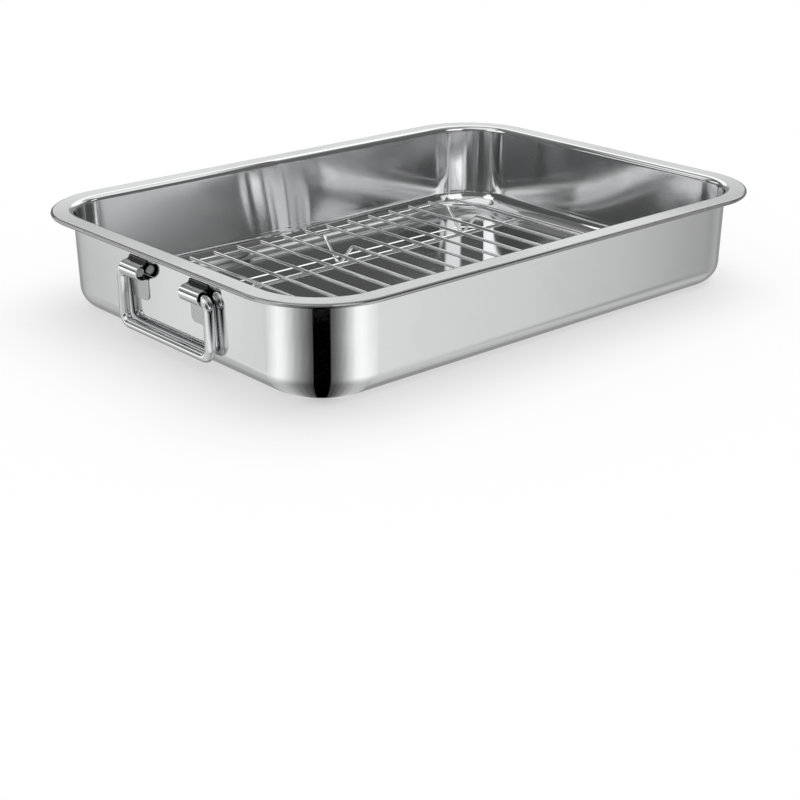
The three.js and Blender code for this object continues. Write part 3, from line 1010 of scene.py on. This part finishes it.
@dataclass
class Studio:
    """White studio: floor, soft lamp overhead, the surroundings that the steel mirrors, and the camera."""

    turn: float = math.radians(-41.3689)  # Camera's turn about Z from the front, which looks along +Y
    rise: float = math.radians(22.0895)  # Camera's height as an angle
    distance: float = 1.09608
    aim: tuple[float, float, float] = (-0.00588, 0.0, -0.07788)  # Point at the middle of the picture
    lens: float = 72.43  # Focal length in millimetres on a sensor 36 mm wide
    ambient: float = 0.62  # Light of the surroundings on matt surfaces
    backlight: float = 0.5  # Share of the floor's white that shines through from below
    lamp: float = 1.65  # Strength of the wide lamp overhead
    softness: float = math.radians(70)  # Angle that the lamp fills
    lamp_way: tuple[float, float, float] = (0.35, 0.1, 1.0)  # Way from the pan to the lamp
    focus: tuple[float, float] = (-0.1591, -0.1084)  # Where the near corner's mirrored view spreads from
    dim: float = 0.12  # Light of the studio above the horizon, between its panels
    card_light: float = 1.4  # Light given off by the card at the side
    overhead_light: float = 0.9  # Light given off by the middle of the card over the pan
    studio_light: float = 1.265  # How much brighter than white paper the lit studio is that the steel mirrors

    def build(self) -> list[bpy.types.Object]:
        """Sets up floor, lamp, surroundings and camera.

        Returns:
            The stage pieces.
        """
        self.surroundings()
        self.camera()
        lamp = bpy.data.lights.new("overhead", "SUN")
        lamp.energy, lamp.angle = self.lamp, self.softness
        overhead = bpy.data.objects.new("overhead", lamp)
        overhead.rotation_euler = (-Vector(self.lamp_way)).to_track_quat("-Z", "Y").to_euler()
        overhead.visible_glossy = False
        bpy.context.scene.collection.objects.link(overhead)
        return [self.floor(), self.corner_card(), self.side_card(), self.overhead_card()]

    def card(self, name: str, points: np.ndarray, levels: np.ndarray) -> bpy.types.Object:
        """Sets up a studio card that only the steel mirrors.

        Args:
            name: Name of the card.
            points: Grid of points, rows by columns by 3.
            levels: Light given off at each point, rows by columns.

        Returns:
            The card.
        """
        rows, cols = points.shape[:2]
        i, j = np.arange(rows - 1)[:, None] * cols, np.arange(cols - 1)[None]
        quads = np.stack([i + j, i + j + 1, i + cols + j + 1, i + cols + j], -1).reshape(-1, 4)
        card = linked(name, points.reshape(-1, 3), quads.tolist())
        note(card, "level", levels.ravel())
        card.visible_camera = card.visible_diffuse = card.visible_shadow = card.visible_transmission = False
        colour, tree = paint(name)
        level = tree.node("ShaderNodeAttribute", {"attribute_name": "level"}, {}, "Color")
        shader = tree.node("ShaderNodeEmission", {}, {"Color": level, "Strength": self.studio_light})
        tree.node("ShaderNodeOutputMaterial", {}, {"Surface": shader})
        card.data.materials.append(colour)
        return card

    def corner_card(self) -> bpy.types.Object:
        """Lays a graded card, black in the middle, on the floor before the near corner.

        It is a sector of a disc round the corner's focus: each point is the focus plus a distance along the
        way that makes the column's angle with the way to the camera. Close to the pan it is dimmer.

        Returns:
            The card.
        """
        angle = np.radians(CORNER_COLUMNS[:, 0])
        towards = np.array([math.sin(self.turn), -math.cos(self.turn)])
        aside = np.array([math.cos(self.turn), math.sin(self.turn)])
        way = np.cos(angle)[:, None] * towards + np.sin(angle)[:, None] * aside
        flat = np.array(self.focus) + CORNER_ROWS[:, :1, None] * way
        height = np.full((*flat.shape[:2], 1), 0.2 * MM)
        points = np.concatenate([flat, height], -1)
        return self.card("corner_card", points, CORNER_ROWS[:, 1:] * CORNER_COLUMNS[:, 1])

    def side_card(self) -> bpy.types.Object:
        """Stands a white card on the left, which the straps and handles mirror.

        Returns:
            The card.
        """
        left, ends, edges = -0.34, np.array([0.02, 0.5]), np.array([0.185, 0.3])
        points = np.stack(np.broadcast_arrays(left, ends[None], edges[:, None]), -1)
        return self.card("side_card", points, np.full((2, 2), self.card_light))

    def overhead_card(self) -> bpy.types.Object:
        """Hangs a soft white card over the pan, which the corners, bends and wires mirror.

        Its light is even in the middle and falls in a straight line to nothing over the last third of the
        way to each edge.

        Returns:
            The card.
        """
        middle, half, height = (-0.045, 0.07), (0.21, 0.18), 0.3
        share = np.linspace(-1, 1, num=13)
        fade = np.clip((1 - np.abs(share)) * 3, 0, 1)
        across, along = (centre + reach * share for centre, reach in zip(middle, half))
        points = np.stack(np.broadcast_arrays(across[None], along[:, None], height), -1)
        return self.card("overhead_card", points, self.overhead_light * fade[:, None] * fade)

    def floor(self) -> bpy.types.Object:
        """Lays the white floor, which the steel sees as part of the surroundings.

        Returns:
            The floor.
        """
        reach = 6.0
        corners = np.array([(sx * reach, sy * reach, 0.0) for sx, sy in CORNERS])
        floor = linked("floor", corners, [[0, 1, 2, 3]])
        floor.visible_glossy = False
        colour, tree = paint("floor_white")
        matt = tree.node("ShaderNodeBsdfDiffuse", {}, {"Color": (0.9, 0.9, 0.9, 1)})
        white = tree.node("ShaderNodeEmission", {}, {"Color": (1, 1, 1, 1), "Strength": 1.0})
        seen = tree.node("ShaderNodeLightPath", {}, {}, "Is Camera Ray") * self.backlight
        shader = tree.node("ShaderNodeMixShader", {}, {0: seen, 1: matt, 2: white})
        tree.node("ShaderNodeOutputMaterial", {}, {"Surface": shader})
        floor.data.materials.append(colour)
        return floor

    def surroundings(self) -> None:
        """Draws up the surroundings: white for the camera, even for matt surfaces, a lit studio for steel.

        What the steel mirrors is the sum of the studio's panels in that direction. The turn runs from 0 behind
        the pan on the left, through 0.5 at the camera, to 1 behind the pan on the right, and the lift from 0
        straight down, through 0.5 at the horizon, to 1 straight up.
        """
        world = bpy.data.worlds.new("studio")
        bpy.context.scene.world = world
        world.use_nodes = True
        tree = NodeTree(world.node_tree)
        way = tree.node("ShaderNodeTexCoord", {}, {}, "Generated")
        x, y, z = tree.axes(way)
        sine, cosine = math.sin(self.turn), math.cos(self.turn)
        towards = x * sine - y * cosine
        aside = x * cosine + y * sine
        turn = aside.math("ARCTAN2", towards) / (2 * math.pi) + 0.5
        lift = z.math("ARCSINE") / math.pi + 0.5
        above = sum((panel.shine(tree, turn, lift) for panel in ABOVE.values()), self.dim)
        below = sum(panel.shine(tree, turn, lift) for panel in BELOW.values())
        rise = tree.node("ShaderNodeMapRange", SMOOTH, {0: lift, **HORIZON})
        mirrored = (below + rise * (above - below)) * self.studio_light
        seen, mirror = (tree.node("ShaderNodeLightPath", {}, {}, out) for out in ("Is Camera Ray", "Is Glossy Ray"))
        plain = self.ambient + seen * (1.0 - self.ambient)
        level = plain + mirror * (mirrored - plain)
        grey = tree.node("ShaderNodeCombineColor", {}, {0: level, 1: level, 2: level})
        shader = tree.node("ShaderNodeBackground", {}, {"Color": grey, "Strength": 1.0})
        tree.node("ShaderNodeOutputWorld", {}, {"Surface": shader})

    def camera(self) -> None:
        """Stands the camera where the picture was taken from."""
        data = bpy.data.cameras.new("camera")
        data.lens, data.sensor_width = self.lens, 36.0
        camera = bpy.data.objects.new("camera", data)
        flat = math.cos(self.rise)
        out = Vector((math.sin(self.turn) * flat, -math.cos(self.turn) * flat, math.sin(self.rise)))
        camera.location = Vector(self.aim) + out * self.distance
        camera.rotation_euler = (-out).to_track_quat("-Z", "Y").to_euler()
        bpy.context.scene.collection.objects.link(camera)
        bpy.context.scene.camera = camera

    def dress(self, pieces: list[bpy.types.Object]) -> None:
        """Sets the plain view settings; the stage pieces are left as they are."""
        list(pieces)
        bpy.context.scene.view_settings.view_transform = "Standard"


def main() -> None:
    """Builds and dresses every sub-assembly."""
    logging.basicConfig(level=logging.INFO, format="%(message)s")
    pan = PanShell()
    pan.dress(pan.build())
    for side in Side:
        end = HandleEnd(side, pan)
        end.dress(end.build())
    rack = WireRack()
    rack.dress(rack.build())
    studio = Studio()
    studio.dress(studio.build())


if __name__ == "__main__":
    main()
